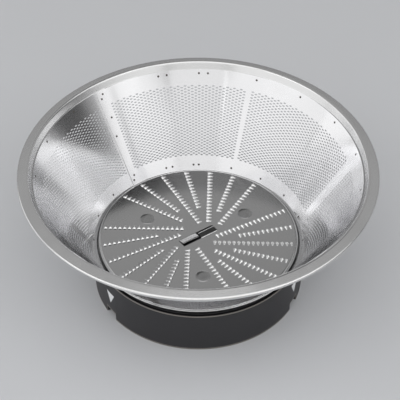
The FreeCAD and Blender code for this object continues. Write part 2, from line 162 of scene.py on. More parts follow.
class DiscSizes(bpy.types.PropertyGroup):
    """Pan with the grater disc, its teeth, its cutter and its weld marks."""

    sheet: length("Sheet", 0.6, "Thickness of the pan")
    radius: length("Radius", 54.1, "Plateau of the disc")
    depth: length("Channel depth", 3.1, "Plateau above the floor of the channel")
    draft: length("Draft", 0.2, "Lean of the plateau's side")
    edge_round: length("Edge round", 1.4, "Radius of the plateau's edge")
    bend_round: length("Bend round", 3.0, "Radius of the bend from the channel to the flange, outside")
    flange: length("Flange", 6.0, "Sloped flange, along the slope")
    slot_length: length("Slot length", 22.0, "Slot of the cutter, along X")
    slot_width: length("Slot width", 5.3, "Slot of the cutter, along Y")
    flap_width: length("Flap width", 3.8, "Cutter flap in plan, from its bend to its edge")
    flap_rise: length("Flap rise", 0.77, "Edge of a cutter flap above the disc")
    flap_gap: length("Flap gap", 0.4, "Room at both ends of a cutter flap")
    flap_bevel: length("Flap bevel", 0.5, "Ground edge of a cutter flap, across")
    pitch: length("Tooth pitch", 2.6, "Teeth apart, along a row")
    tooth_length: length("Tooth length", 3.5, "One tooth, from its lip to its tail")
    tooth_width: length("Tooth width", 2.2, "One tooth, at its lip")
    tooth_height: length("Tooth height", 0.85, "Lip of a tooth above the disc")
    reach: length("Row reach", 50.7, "Last tooth of a row, along the row")
    offset: length("Row offset", 5.4, "Distance by which a row misses the centre")
    row_angle: angle("Row angle", 8.9, "Direction of the row position beside the first stud")
    long_rows: count("Long rows", 12, "Rows that reach the cutter")
    long_teeth: bpy.props.IntVectorProperty(
        name="Long row teeth", description="Teeth of each long row of a half turn",
        default=(15, 16, 17, 15, 17, 17), size=6, min=1)
    short_teeth: count("Short row teeth", 12, "Teeth of a short row, between two long ones")
    studs: count("Studs", 3, "Weld studs, which also leave their marks on the disc")
    stud_circle: length("Stud circle", 31.0, "Radius on which the studs stand")
    mark: length("Weld mark", 4.0, "Radius of the mark that a stud leaves on the disc")


class BaseSizes(bpy.types.PropertyGroup):
    """Moulded drive base with its painted arrows."""

    radius: length("Radius", base_high.x / MM, "Outside of the skirt")
    height: length("Height", base_high.z / MM, "Top edge of the skirt")
    wall: length("Wall", 2.8, "Wall of the skirt")
    web: length("Web", 3.0, "Web that closes the top")
    shoulder: length("Shoulder", 3.0, "Shoulder that ends the socket below the web")
    rib_depth: length("Rib depth", 2.6, "Shoulder, ribs and hub, below the web")
    rib: length("Rib", 1.8, "Thickness of one rib")
    ribs: count("Ribs", 6, "Ribs under the web")
    rib_angle: angle("Rib angle", 30.0, "Direction of the first rib")
    hub: length("Hub", 8.0, "Radius of the boss in the middle of the web")
    edge_round: length("Edge round", 0.55, "Radius of the moulded edges")
    foot: length("Foot", 1.2, "Height of the faint bevel round the foot")
    lip: length("Lip", 0.9, "Top edge outside the groove")
    groove: length("Groove", 1.3, "Groove between the top edge and the pan")
    groove_depth: length("Groove depth", 2.0, "Depth of the groove")
    notch_width: length("Notch width", 8.8, "Notches in the foot")
    notch_height: length("Notch height", 4.5, "Notches in the foot")
    marks: count("Arrows", 3, "Arrows, each above a notch")
    first_mark: angle("First arrow", 60.0, "Direction of the first arrow")
    arrow_width: length("Arrow width", 7.0, "Arrows, across the top")
    arrow_height: length("Arrow height", 7.2, "Arrows, top to tip")
    arrow_top: length("Arrow top", 17.6, "Top of the arrows above the table")
    paint: length("Paint", 0.04, "Paint of the arrows, proud of the skirt")


class Finishes(bpy.types.PropertyGroup):
    """Colours and roughnesses."""

    rim: colour("Rim steel", (0.80, 0.80, 0.80), "Spun steel of the rim")
    rim_rough: share("Rim roughness", 0.22, "Roughness of the rim")
    cone: colour("Sheet steel", (0.86, 0.86, 0.87), "Perforated sheet")
    cone_rough: share("Sheet roughness", 0.15, "Roughness of the perforated sheet")
    disc: colour("Disc steel", (0.60, 0.60, 0.60), "Pressed steel of the grater disc")
    disc_rough: share("Disc roughness", 0.14, "Roughness of the grater disc")
    # Painted highlight: lighter colour on the plateau's rounded edge, where light catches it.
    disc_edge_highlight: colour("Disc edge highlight", (0.97, 0.97, 0.97), "Lighter colour painted on the disc's rounded edge as a highlight")
    # Partly painted highlight: the teeth are pressed from the disc's steel, but their colour is lifted so
    # they read brighter.
    tooth: colour("Tooth steel, lightened for highlights", (0.90, 0.90, 0.90), "Pressed teeth, lighter than the disc's steel as a painted highlight")
    tooth_rough: share("Tooth roughness", 0.11, "Roughness of the teeth")
    cutter: colour("Cutter steel", (0.92, 0.92, 0.92), "Ground steel of the cutter")
    cutter_rough: share("Cutter roughness", 0.08, "Roughness of the cutter")
    fastener: colour("Fastener steel", (0.62, 0.62, 0.62), "Studs and nuts")
    fastener_rough: share("Fastener roughness", 0.35, "Roughness of the studs and nuts")
    weld: colour("Spot weld", (0.16, 0.15, 0.14), "Heat-tinted steel of the spot welds")
    weld_rough: share("Spot weld roughness", 0.4, "Roughness of the spot welds")
    mark: colour("Weld mark", (0.54, 0.54, 0.54), "Marks that the studs leave on the disc")
    mark_rough: share("Weld mark roughness", 0.22, "Roughness of the marks on the disc")
    # Painted shade: near-black colour that stands for the shade in the slits under the teeth's lips.
    slit_shade: colour("Lip slit", (0.02, 0.02, 0.022), "Shade painted in the slits under the lips of the teeth")
    slit_shade_rough: share("Lip slit roughness", 0.6, "Roughness of the slits")
    plastic: colour("Base plastic", (0.027, 0.026, 0.029), "Moulded plastic of the drive base")
    plastic_rough: share("Plastic roughness", 0.42, "Roughness of the drive base")
    # Painted highlight: lighter colour on the skirt's top and foot edges, where light catches them.
    base_edge_highlight: colour("Base edge highlight", (0.19, 0.175, 0.16), "Lighter colour painted on the drive base's edges as a highlight")
    paint: colour("Arrow paint", (0.88, 0.89, 0.90), "White paint of the arrows")
    paint_rough: share("Paint roughness", 0.5, "Roughness of the arrows")
    floor: colour("Floor", (0.66, 0.67, 0.69), "Pale floor")
    floor_rough: share("Floor roughness", 0.8, "Roughness of the floor")


class StageSizes(bpy.types.PropertyGroup):
    """Camera, lamps and floor."""

    camera: bpy.props.FloatVectorProperty(
        name="Camera", description="Place of the camera", default=(-0.3539, -0.5146, 0.6333),
        size=3, unit="LENGTH")
    aim: bpy.props.FloatVectorProperty(
        name="Aim", description="Point in the middle of the picture", default=(0.00074, -0.00051, 0.0552),
        size=3, unit="LENGTH")
    lens: bpy.props.FloatProperty(
        name="Lens", description="Focal length in millimetres", default=144.0)
    floor: length("Floor", 8000.0, "Side of the square floor")
    ceiling: share("Ceiling", 0.40, "Light of the world from above")
    horizon: share("Horizon", 0.30, "Light of the world from low down")
    dark: share("Dark", 0.28, "Share of that light in the dark opening at the side")
    far_dark: share("Far dark", 0.10, "Share of that light in the dark opening at the back")


def slope_point(cone, slant, off):
    """Radius and height of a point on the cone: slant up the slope from the bend, off outwards from it."""
    run, rise = math.cos(cone.slope), math.sin(cone.slope)
    slant, off = np.broadcast_arrays(slant, off)
    floor = base_high.z + bpy.context.scene.basket_disc.sheet
    return np.stack([cone.foot_radius + slant * run + off * rise, floor + slant * rise - off * run], -1)


def disc_top(disc):
    """Height of the grater disc's upper face: the pan's floor plus the depth of its channel."""
    return base_high.z + disc.sheet + disc.depth


def rounded(corners, radii, closed=True, steps=7, support=0.3 * MM, reserve=0.4):
    """Outline through corners with each turned into an arc of its radius.

    An arc touches both sides at radius / tan(half the corner's angle); its points are the spherical mean
    of its first and last radius vectors. A point beyond each end of an arc, at most support away and within
    a reserved share of the straight stretch, keeps that stretch flat when shaded.
    """
    corners = np.array(corners, float)
    inner = corners if closed else corners[1:-1]
    before = np.roll(corners, 1, 0) if closed else corners[:-2]
    after = np.roll(corners, -1, 0) if closed else corners[2:]
    radii = np.array(radii, float)[:, None]

    def unit(v):
        return v / np.linalg.norm(v, axis=1, keepdims=True)

    back, ahead = unit(before - inner), unit(after - inner)
    half = np.arccos(np.clip((back * ahead).sum(1, keepdims=True), -1, 1)) / 2
    reach = radii / np.tan(half)
    centre = inner + unit(back + ahead) * radii / np.sin(half)
    first = (inner + back * reach - centre) / radii
    last = (inner + ahead * reach - centre) / radii
    sweep = (np.pi - 2 * half)[:, :, None]
    along = np.linspace(0, 1, steps)[None, :, None]
    leave, arrive = np.sin((1 - along) * sweep), np.sin(along * sweep)
    turn = (leave * first[:, None] + arrive * last[:, None]) / np.sin(sweep)
    arcs = centre[:, None] + radii[:, :, None] * turn

    def slack(other, side):
        gap = np.linalg.norm(other - inner, axis=1, keepdims=True) - reach - side
        return np.clip(reserve * gap, MERGE, support)

    none = np.zeros((1, 1))
    back_side = np.roll(reach, 1, 0) if closed else np.vstack([none, reach[:-1]])
    ahead_side = np.roll(reach, -1, 0) if closed else np.vstack([reach[1:], none])
    lead = arcs[:, 0] + back * slack(before, back_side)
    tail = arcs[:, -1] + ahead * slack(after, ahead_side)
    points = np.concatenate([lead[:, None], arcs, tail[:, None]], 1).reshape(-1, 2)
    return points if closed else np.vstack([corners[:1], points, corners[-1:]])


def grid_quads(rows, columns, close_rows=False, close_columns=False):
    """Quads of a grid of points stored row by row; a closed direction joins its last line to its first."""
    row = np.arange(rows if close_rows else rows - 1)[:, None]
    column = np.arange(columns if close_columns else columns - 1)[None, :]
    row_after, column_after = (row + 1) % rows, (column + 1) % columns
    return np.stack([row * columns + column, row * columns + column_after,
                     row_after * columns + column_after, row_after * columns + column], -1).reshape(-1, 4)


def lathe(profile, angles):
    """Profile of radius and height carried round Z: x = radius cos a, y = radius sin a, z = height."""
    radius, height = profile[:, 0], profile[:, 1]
    return np.stack([np.outer(np.cos(angles), radius), np.outer(np.sin(angles), radius),
                     np.broadcast_to(height, (len(angles), len(height)))], -1)


def full_turn(steps=AROUND):
    """Evenly spaced directions round Z."""
    return np.arange(steps) * 2 * np.pi / steps


def turned(points, angles):
    """Points turned about Z by each angle: one set for all the angles, or one set for each."""
    c, s = np.cos(angles)[:, None], np.sin(angles)[:, None]
    x, y, z = np.moveaxis(points, -1, 0)
    return np.stack(np.broadcast_arrays(x * c - y * s, x * s + y * c, z), -1)


def copies(quads, number, points_each):
    """The same quads for each of a number of copies of a shape."""
    return (np.arange(number)[:, None, None] * points_each + quads[None]).reshape(-1, 4)


def join(parts):
    """One set of points and quads from several."""
    shifts = np.cumsum([0] + [len(points) for points, quads in parts[:-1]])
    return (np.vstack([points for points, quads in parts]),
            np.vstack([quads + shift for (points, quads), shift in zip(parts, shifts)]))


def outward(points, quads):
    """Quads turned so that a closed shape has a positive volume, summed over tetrahedra to the origin."""
    a, b, c, d = (points[quads[:, i]] for i in range(4))
    volume = (np.cross(a, b) * c).sum() + (np.cross(a, c) * d).sum()
    return quads if volume > 0 else quads[:, ::-1]


def make_piece(name, points, quads, materials, node, sharp=40.0, inks=None, painted_highlight=None):
    """Mesh object from whole arrays that rides on the basket and stands for a CAD node.

    Its quads are turned outwards. Points that coincide, as at poles, are merged; edges sharper than sharp
    degrees stay crisp. inks holds the number of each quad's material; the last argument holds, for each
    point, how much of a painted highlight it takes.
    """
    points = np.asarray(points, float).reshape(-1, 3)
    used, quads = np.unique(outward(points, quads), return_inverse=True)
    points, quads = points[used], quads.reshape(-1, 4)
    mesh = bpy.data.meshes.new(name)
    mesh.vertices.add(len(points))
    mesh.vertices.foreach_set("co", points.ravel())
    mesh.loops.add(quads.size)
    mesh.loops.foreach_set("vertex_index", quads.ravel())
    mesh.polygons.add(len(quads))
    mesh.polygons.foreach_set("loop_start", np.arange(0, quads.size, 4))
    if inks is not None:
        mesh.polygons.foreach_set("material_index", np.asarray(inks, np.int32))
    # Per-point share of a painted highlight, which the material shows as a lighter colour.
    if painted_highlight is not None:
        mesh.attributes.new("painted_highlight", "FLOAT", "POINT").data.foreach_set("value", np.asarray(painted_highlight, float)[used])
    mesh.update(calc_edges=True)
    form = bmesh.new()
    form.from_mesh(mesh)
    bmesh.ops.remove_doubles(form, verts=form.verts, dist=MERGE)
    form.to_mesh(mesh)
    form.free()
    mesh.polygons.foreach_set("use_smooth", np.ones(len(mesh.polygons), bool))
    mesh.set_sharp_from_angle(angle=math.radians(sharp))
    mesh.validate()
    for material in materials:
        mesh.materials.append(material)
    piece = bpy.data.objects.new(name, mesh)
    bpy.context.scene.collection.objects.link(piece)
    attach(piece, BODY)
    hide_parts(node)


def rim_profile(cone, rim):
    """Closed outline of the rim: collar up the slope, rounded crest, falling flange, bead, and back below."""
    crest = slope_point(cone, rim.crest, -rim.lean)
    run, fall = math.cos(rim.flange_fall), math.sin(rim.flange_fall)
    under_crest = rim.sheet * math.tan((cone.slope + rim.flange_fall) / 2)

    def on_flange(out, under):
        return crest + np.array([out * run - under * fall, -out * fall - under * run])

    corners = [
        slope_point(cone, rim.collar_foot, 0.0),
        slope_point(cone, rim.collar_bend, 0.0),
        crest,
        on_flange(rim.flange + rim.bead, 0.0),
        on_flange(rim.flange + rim.bead, 2 * rim.bead),
        on_flange(rim.flange - rim.bead, 2 * rim.bead),
        on_flange(rim.flange - rim.bead, rim.sheet),
        slope_point(cone, rim.crest - under_crest, rim.sheet - rim.lean),
        slope_point(cone, rim.collar_bend, rim.sheet),
        slope_point(cone, rim.collar_foot, rim.sheet),
    ]
    edge, bead = 0.2 * rim.sheet, 0.97 * rim.bead
    soft = rim.crest_round
    return rounded(corners, [edge, soft, soft, bead, bead, 0.8 * bead, edge, rim.sheet, soft, edge])


def panel_points(cone, a, s, off, lift):
    """Points on one face of the sheet, at angles a and slants s, lifted inwards by lift."""
    radius, height = np.moveaxis(slope_point(cone, s, off - lift(a)), -1, 0)
    return np.stack([radius * np.cos(a), radius * np.sin(a), height], -1)


def perforated_panel(cone, low, high, first, last, lift):
    """Closed sheet from angle low to high, with staggered oblong holes from angle first to last.

    The sheet is a grid of half columns and half rows. Each hole takes a block of two by two squares: its
    eight border points are joined to eight points on an ellipse about the block's middle, on both faces, and
    the two ellipses to each other. Blocks of neighbouring columns are half a row apart, and the points of the
    line between them go to the left and to the right by turns, so that a block is widest at its middle.
    """
    middle = slope_point(cone, (cone.field_foot + cone.field_head) / 2, 0.0)[0]
    columns = round((last - first) * middle / cone.pitch)
    margin = 5
    half_rows = 2 * cone.rows + 1
    sway = 0.25 * (last - first) / (2 * columns)
    angles = np.concatenate([np.linspace(low, first, margin)[:-1], np.linspace(first, last, 2 * columns + 1),
                             np.linspace(last, high, margin)[1:]])
    slants = np.concatenate([np.linspace(cone.sheet_foot, cone.field_foot, margin)[:-1],
                             np.linspace(cone.field_foot, cone.field_head, half_rows + 1),
                             np.linspace(cone.field_head, cone.sheet_head, margin)[1:]])
    across, up = len(angles), len(slants)
    outer, inner = -cone.weld_gap, -cone.weld_gap - cone.sheet
    a, s = np.meshgrid(angles, slants)
    line, level = np.arange(columns + 1), np.arange(half_rows + 1)[:, None]
    a[margin - 1:margin + half_rows, margin - 1 + 2 * line] += np.where((line + level) % 2, -sway, sway)
    faces = [panel_points(cone, a, s, off, lift) for off in (outer, inner)]
    column, row = (grid.ravel() for grid in np.meshgrid(np.arange(columns), np.arange(cone.rows)))
    left = margin - 1 + 2 * column
    foot = margin - 1 + 2 * row + column % 2
    border = [(2, 1), (2, 2), (1, 2), (0, 2), (0, 1), (0, 0), (1, 0), (2, 0)]
    sides = len(border)
    ring = np.stack([(foot + dr) * across + left + dc for dc, dr in border], -1)
    blank = np.ones((up - 1, across - 1), bool)
    for dc in (0, 1):
        for dr in (0, 1):
            blank[foot + dr, left + dc] = False
    around = full_turn(sides)
    centre_angle, centre_slant = angles[left + 1][:, None], slants[foot + 1][:, None]
    squares = grid_quads(up, across)[blank.ravel()]
    points, quads = [face.reshape(-1, 3) for face in faces], []
    size, holes = up * across, len(column)
    for side, off in enumerate((outer, inner)):
        radius = slope_point(cone, centre_slant, off)[..., 0]
        a = centre_angle + cone.hole_width * np.cos(around) / radius
        s = centre_slant + cone.hole_height * np.sin(around)
        points.append(panel_points(cone, a, s, off, lift).reshape(-1, 3))
        edge = 2 * size + side * sides * holes + np.arange(sides * holes).reshape(-1, sides)
        rim = ring + side * size
        collar = np.stack([rim, np.roll(rim, -1, 1), np.roll(edge, -1, 1), edge], -1).reshape(-1, 4)
        sheet = np.vstack([squares + side * size, collar])
        quads.append(sheet[:, ::-1] if side else sheet)
    outer_edge = 2 * size + np.arange(sides * holes).reshape(-1, sides)
    inner_edge = outer_edge + sides * holes
    quads.append(np.stack([outer_edge, np.roll(outer_edge, -1, 1), np.roll(inner_edge, -1, 1),
                           inner_edge], -1).reshape(-1, 4))
    loop = np.concatenate([np.arange(across), across * np.arange(1, up) + across - 1,
                           size - 2 - np.arange(across - 1), across * np.arange(up - 2, 0, -1)])
    after = np.roll(loop, -1)
    quads.append(np.stack([loop, loop + size, after + size, after], -1))
    return np.vstack(points), np.vstack(quads)


def buttons(centres, normals, profile, sides):
    """Small turned shapes: at each centre, a profile of radius and height about its normal, pole to pole."""
    nearly_upright = 0.9
    up = np.where(np.abs(normals[:, 2:]) < nearly_upright, [[0.0, 0.0, 1.0]], [[1.0, 0.0, 0.0]])
    first = np.cross(up, normals)
    first /= np.linalg.norm(first, axis=1, keepdims=True)
    second = np.cross(normals, first)
    around = full_turn(sides)
    radius, height = profile[:, 0], profile[:, 1]
    disc = (np.cos(around)[None, :, None, None] * first[:, None, None, :]
            + np.sin(around)[None, :, None, None] * second[:, None, None, :])
    points = (centres[:, None, None, :] + disc * radius[None, None, :, None]
              + normals[:, None, None, :] * height[None, None, :, None])
    quads = grid_quads(sides, len(profile), close_rows=True)
    return points.reshape(-1, 3), copies(quads, len(centres), sides * len(profile))


def spot_welds(cone, slants, angles, off, inwards):
    """Shallow craters on the cone: raised ring with a sunken middle, on the face at off."""
    run, rise = math.cos(cone.slope), math.sin(cone.slope)
    radius, height = np.moveaxis(slope_point(cone, slants, off), -1, 0)
    c, s = np.cos(angles), np.sin(angles)
    centres = np.stack([radius * c, radius * s, height], -1)
    side = -1.0 if inwards else 1.0
    normals = side * np.stack([rise * c, rise * s, np.full_like(c, -run)], -1)
    size = cone.weld_radius
    outer, inner = 0.75 * size, 0.5 * size
    deep, ring, dip = -0.12 * MM, 0.07 * MM, 0.015 * MM
    profile = np.array([(0, deep), (size, deep), (size, 0), (outer, ring), (inner, ring), (0, dip)])
    return buttons(centres, normals, profile, sides=12)


def pan_profile(cone, disc, hub):
    """Closed outline of the pan: plateau from hub outwards, channel, sloped flange, and back below."""
    floor, top = base_high.z + disc.sheet, disc_top(disc)
    bend = cone.foot_radius + disc.sheet * math.tan(cone.slope / 2)
    corners = [
        (hub, top),
        (disc.radius, top),
        (disc.radius + disc.draft, floor),
        (cone.foot_radius, floor),
        slope_point(cone, disc.flange, 0.0),
        slope_point(cone, disc.flange, disc.sheet),
        (bend, base_high.z),
        (disc.radius + disc.draft - disc.sheet, base_high.z),
        (disc.radius - disc.sheet, top - disc.sheet),
        (hub, top - disc.sheet),
    ]
    edge, tight = 0.1 * MM, 0.08 * MM
    return rounded(corners, [edge, disc.edge_round, tight, tight, edge,
                             edge, disc.bend_round, tight, edge, edge])


def slot_radius(disc, angles):
    """Distance from the centre to the edge of the cutter's slot in each direction."""
    least = 1e-6
    return np.minimum(disc.slot_length / 2 / np.maximum(np.abs(np.cos(angles)), least),
                      disc.slot_width / 2 / np.maximum(np.abs(np.sin(angles)), least))


def mark_section(disc):
    """Outline of a stud's mark, from pole to pole: sunk foot, raised ring, shallow groove and low crown."""
    mark, skin = disc.mark, 0.1 * MM
    return np.array([(0, -skin), (1.04 * mark, -skin), (1.03 * mark, 0), (0.98 * mark, skin),
                     (0.93 * mark, 0.1 * skin), (0.5 * mark, 0.7 * skin), (0, skin)])


def tooth_shape(disc, top):
    """One pressed tooth on the row's own axes, X along the row: points, quads and materials.

    Each cross-section is a half ellipse with a flat foot. Its width and height grow from a narrow tail to a
    round head and fall again to the nose. The nose's last band takes the second material: painted shade
    for the slit under the lip.
    """
    arch = np.linspace(0, np.pi, 8)
    along = np.array([0.0, 0.08, 0.25, 0.45, 0.60, 0.70, 0.82, 0.93, 1.0])
    wide = np.array([0.0, 0.40, 0.46, 0.60, 0.88, 1.0, 0.95, 0.70, 0.0])
    tall = np.array([0.0, 0.02, 0.29, 0.61, 0.84, 1.0, 0.80, 0.42, 0.0])
    root = 0.1 * MM
    x = np.outer(disc.tooth_width / 2 * wide, np.cos(arch))
    z = top - root + np.outer(disc.tooth_height * tall + root * (tall > 0), np.sin(arch))
    y = np.broadcast_to((-disc.offset + disc.tooth_length * (along - 0.5))[:, None], x.shape)
    rows, columns = x.shape
    # Painted shade: the nose's last band of quads takes the near-black material in place of the shaded slit.
    slit = np.repeat(np.arange(rows - 1) == rows - 2, columns)
    points = np.stack([x, y, z], -1).reshape(-1, 3)
    return points, grid_quads(rows, columns, close_columns=True), slit.astype(int)


def tooth_rows(disc):
    """Place of every tooth: distance along its row and the row's direction."""
    step = np.pi / disc.long_rows
    rows = []
    for place in range(2 * disc.long_rows):
        beside_stud = place % (2 * disc.long_rows // disc.studs) == 0
        long_row = disc.long_teeth[place // 2 % len(disc.long_teeth)]
        teeth = long_row if place % 2 else 0 if beside_stud else disc.short_teeth
        along = disc.reach - disc.pitch * np.arange(teeth)
        rows.append(np.stack([along, np.full(teeth, disc.row_angle + place * step)], -1))
    return np.vstack(rows)


def bar(section, start, end):
    """Closed outline of Y and Z carried along X from start to end, with its ends drawn in to a point."""
    middle = section.mean(0)
    rings = [np.tile(middle, (len(section), 1)), section, section, np.tile(middle, (len(section), 1))]
    x = np.repeat([start, start, end, end], len(section))
    points = np.column_stack([x, np.vstack(rings)])
    return points, grid_quads(len(rings), len(section), close_columns=True)


def skirt_points(base, profile, foot, angles):
    """Base profile carried round Z; the points of its foot rise by the notch's height where a notch is."""
    points = lathe(profile, angles)
    step = 2 * np.pi / base.marks
    from_notch = np.abs((angles - base.first_mark + step / 2) % step - step / 2) * base.radius
    in_notch = from_notch < base.notch_width / 2
    points[..., 2] += np.outer(in_notch, foot) * base.notch_height
    return points


def notched_turn(base, draft=0.06 * MM):
    """Directions round Z, with a close pair on each side of every notch."""
    step = 2 * np.pi / base.marks
    half = base.notch_width / 2
    edges = np.array([-half - draft, -half + draft, half - draft, half + draft]) / base.radius
    middles = base.first_mark + step * np.arange(base.marks)
    pairs = (middles[:, None] + edges).ravel() % (2 * np.pi)
    plain = full_turn()
    from_notch = np.abs((plain - base.first_mark + step / 2) % step - step / 2) * base.radius
    room = 4 * draft
    return np.sort(np.concatenate([plain[np.abs(from_notch - half) > room], pairs]))


def base_profile(base):
    """Outline of the base from the pole of its top to the pole under its web; its foot; and its edges,
    which take a painted highlight.
    """
    groove_out = base.radius - base.lip
    groove_in = groove_out - base.groove
    socket = base.radius - base.wall
    shoulder = socket - base.shoulder
    under = base.height - base.web
    foot_lean = 0.08 * base.foot
    corners = [
        (0.0, base.height),
        (groove_in, base.height),
        (groove_in, base.height - base.groove_depth),
        (groove_out, base.height - base.groove_depth),
        (groove_out, base.height),
        (base.radius, base.height),
        (base.radius, base.foot),
        (base.radius - foot_lean, 0.0),
        (socket, 0.0),
        (socket, under - base.rib_depth),
        (shoulder, under - base.rib_depth),
        (shoulder, under),
        (0.0, under),
    ]
    soft = base.edge_round
    thin = soft / 2
    profile = rounded(corners, [thin, thin, thin, thin, soft, thin, thin, soft, soft, soft, soft],
                      closed=False)
    foot = profile[:, 1] < 1.3 * base.foot
    at_edge = (profile[:, 1] < base.foot) | (profile[:, 1] > base.height - 0.99 * soft)
    return profile, foot, at_edge & (profile[:, 0] > base.radius - soft)


def arrow_points(base, middle):
    """Curved triangle of paint: rows down from the arrow's top, each a thin closed loop on the skirt."""
    rows, across = 9, 7
    sunk = 4 * base.paint
    down = np.concatenate([[0.0], np.linspace(0, 1, rows), [1.0]])
    side = np.linspace(-1, 1, across)
    spread = np.concatenate([side, side[::-1]])
    deep = np.repeat([0.0, 1.0], across)
    closed_in = np.ones(len(down))
    closed_in[[0, -1]] = 0.0
    half = base.arrow_width / 2 * (1 - down) * closed_in
    turn = middle + np.outer(half, spread) / base.radius
    radius = base.radius + base.paint - np.outer(closed_in, deep) * sunk
    height = np.broadcast_to((base.arrow_top - down * base.arrow_height)[:, None], turn.shape)
    points = np.stack([radius * np.cos(turn), radius * np.sin(turn), height], -1)
    return points.reshape(-1, 3), grid_quads(len(down), len(spread), close_columns=True)


def add_node(tree, kind, place, **values):
    """Shader node with its inputs set by name, and with properties by attribute."""
    node = tree.nodes.new(kind)
    node.location = place
    for key, value in values.items():
        if key in node.inputs:
            node.inputs[key].default_value = value
        else:
            setattr(node, key, value)
    return node


def new_group(name, inputs, outputs):
    """Shader node group with float inputs, each with its default, and float outputs."""
    tree = bpy.data.node_groups.new(name, "ShaderNodeTree")
    for socket, default in inputs:
        made = tree.interface.new_socket(socket, in_out="INPUT", socket_type="NodeSocketFloat")
        made.default_value = default
    for socket in outputs:
        tree.interface.new_socket(socket, in_out="OUTPUT", socket_type="NodeSocketFloat")
    return tree, tree.nodes.new("NodeGroupInput"), tree.nodes.new("NodeGroupOutput")


def spun_group():
    """Turning marks and finger haze of sheet steel.

    Grain is noise over radius and height, drawn out round Z; Haze is broad soft noise.
    """
    if "Spun steel" in bpy.data.node_groups:
        return bpy.data.node_groups["Spun steel"]
    tree, given, put = new_group("Spun steel", [("Fineness", 4000.0), ("Haze Scale", 40.0)],
                                 ["Grain", "Haze"])
    link = tree.links.new
    where = add_node(tree, "ShaderNodeTexCoord", (-1000, 0))
    split = add_node(tree, "ShaderNodeSeparateXYZ", (-820, 0))
    flat = add_node(tree, "ShaderNodeCombineXYZ", (-640, 120))
    far = add_node(tree, "ShaderNodeVectorMath", (-460, 200), operation="LENGTH")
    way = add_node(tree, "ShaderNodeVectorMath", (-460, 40), operation="NORMALIZE")
    section = add_node(tree, "ShaderNodeCombineXYZ", (-280, 200))
    scaled = add_node(tree, "ShaderNodeVectorMath", (-100, 200), operation="SCALE")
    drawn = add_node(tree, "ShaderNodeVectorMath", (60, 120), operation="ADD")
    marks = add_node(tree, "ShaderNodeTexNoise", (220, 160), Scale=1.0, Detail=3.0, Roughness=0.6)
    haze = add_node(tree, "ShaderNodeTexNoise", (220, -120), Detail=3.0, Roughness=0.55)
    link(where.outputs["Object"], split.inputs[0])
    link(split.outputs["X"], flat.inputs["X"])
    link(split.outputs["Y"], flat.inputs["Y"])
    link(flat.outputs[0], far.inputs[0])
    link(flat.outputs[0], way.inputs[0])
    link(far.outputs["Value"], section.inputs["X"])
    link(split.outputs["Z"], section.inputs["Y"])
    link(section.outputs[0], scaled.inputs[0])
    link(given.outputs["Fineness"], scaled.inputs["Scale"])
    link(scaled.outputs[0], drawn.inputs[0])
    link(way.outputs[0], drawn.inputs[1])
    link(drawn.outputs[0], marks.inputs["Vector"])
    link(where.outputs["Object"], haze.inputs["Vector"])
    link(given.outputs["Haze Scale"], haze.inputs["Scale"])
    link(marks.outputs["Fac"], put.inputs["Grain"])
    link(haze.outputs["Fac"], put.inputs["Haze"])
    return tree


def moulded_group():
    """Fine skin of moulded plastic and paint: Grain is close noise, Cloud is broad noise."""
    if "Moulded skin" in bpy.data.node_groups:
        return bpy.data.node_groups["Moulded skin"]
    tree, given, put = new_group("Moulded skin", [("Grain Scale", 2500.0), ("Cloud Scale", 30.0)],
                                 ["Grain", "Cloud"])
    link = tree.links.new
    where = add_node(tree, "ShaderNodeTexCoord", (-600, 0))
    for place, source, result in ((120, "Grain Scale", "Grain"), (-120, "Cloud Scale", "Cloud")):
        noise = add_node(tree, "ShaderNodeTexNoise", (-300, place), Detail=4.0, Roughness=0.6)
        link(where.outputs["Object"], noise.inputs["Vector"])
        link(given.outputs[source], noise.inputs["Scale"])
        link(noise.outputs["Fac"], put.inputs[result])
    return tree


def new_material(name, rgb, metallic):
    """Material with its Principled shader, whose base colour is also the viewport's."""
    material = bpy.data.materials.new(name)
    material.use_nodes = True
    material.diffuse_color = (*rgb, 1.0)
    tree = material.node_tree
    shader = next(node for node in tree.nodes if node.type == "BSDF_PRINCIPLED")
    shader.inputs["Metallic"].default_value = metallic
    return material, tree, shader


def tone(tree, shader, factor, rgb, dark):
    """Base colour between a darker and the full colour, by a mask."""
    mix = add_node(tree, "ShaderNodeMix", (-260, 260), data_type="RGBA")
    mix.inputs["A"].default_value = (*(dark * part for part in rgb), 1.0)
    mix.inputs["B"].default_value = (*rgb, 1.0)
    tree.links.new(factor, mix.inputs["Factor"])
    tree.links.new(mix.outputs["Result"], shader.inputs["Base Color"])


def ramp(tree, source, place, start, end, low, high):
    """Output that goes from low to high as its source goes from start to end."""
    node = add_node(tree, "ShaderNodeMapRange", place,
                    **{"From Min": start, "From Max": end, "To Min": low, "To Max": high})
    tree.links.new(source, node.inputs["Value"])
    return node.outputs["Result"]


def roughen(tree, shader, source, rough, spread):
    """Roughness that varies about a value with a mask, over the stretch that noise mostly fills."""
    noise_low, noise_high = 0.3, 0.7
    varied = ramp(tree, source, (-260, 20), noise_low, noise_high, rough - spread, rough + spread)
    tree.links.new(varied, shader.inputs["Roughness"])


def emboss(tree, shader, source, strength, distance):
    """Bump from a mask."""
    bump = add_node(tree, "ShaderNodeBump", (-260, -260), Strength=strength, Distance=distance)
    tree.links.new(source, bump.inputs["Height"])
    tree.links.new(bump.outputs["Normal"], shader.inputs["Normal"])


def paint_highlight(tree, shader, rgb):
    """Painted highlight: another, lighter base colour at the points that a mesh marks for it."""
    highlight_mask = add_node(tree, "ShaderNodeAttribute", (-560, 420), attribute_name="painted_highlight")
    over = add_node(tree, "ShaderNodeMix", (-60, 420), data_type="RGBA")
    over.inputs["B"].default_value = (*rgb, 1.0)
    tree.links.new(highlight_mask.outputs["Fac"], over.inputs["Factor"])
    tree.links.new(shader.inputs["Base Color"].links[0].from_socket, over.inputs["A"])
    tree.links.new(over.outputs["Result"], shader.inputs["Base Color"])


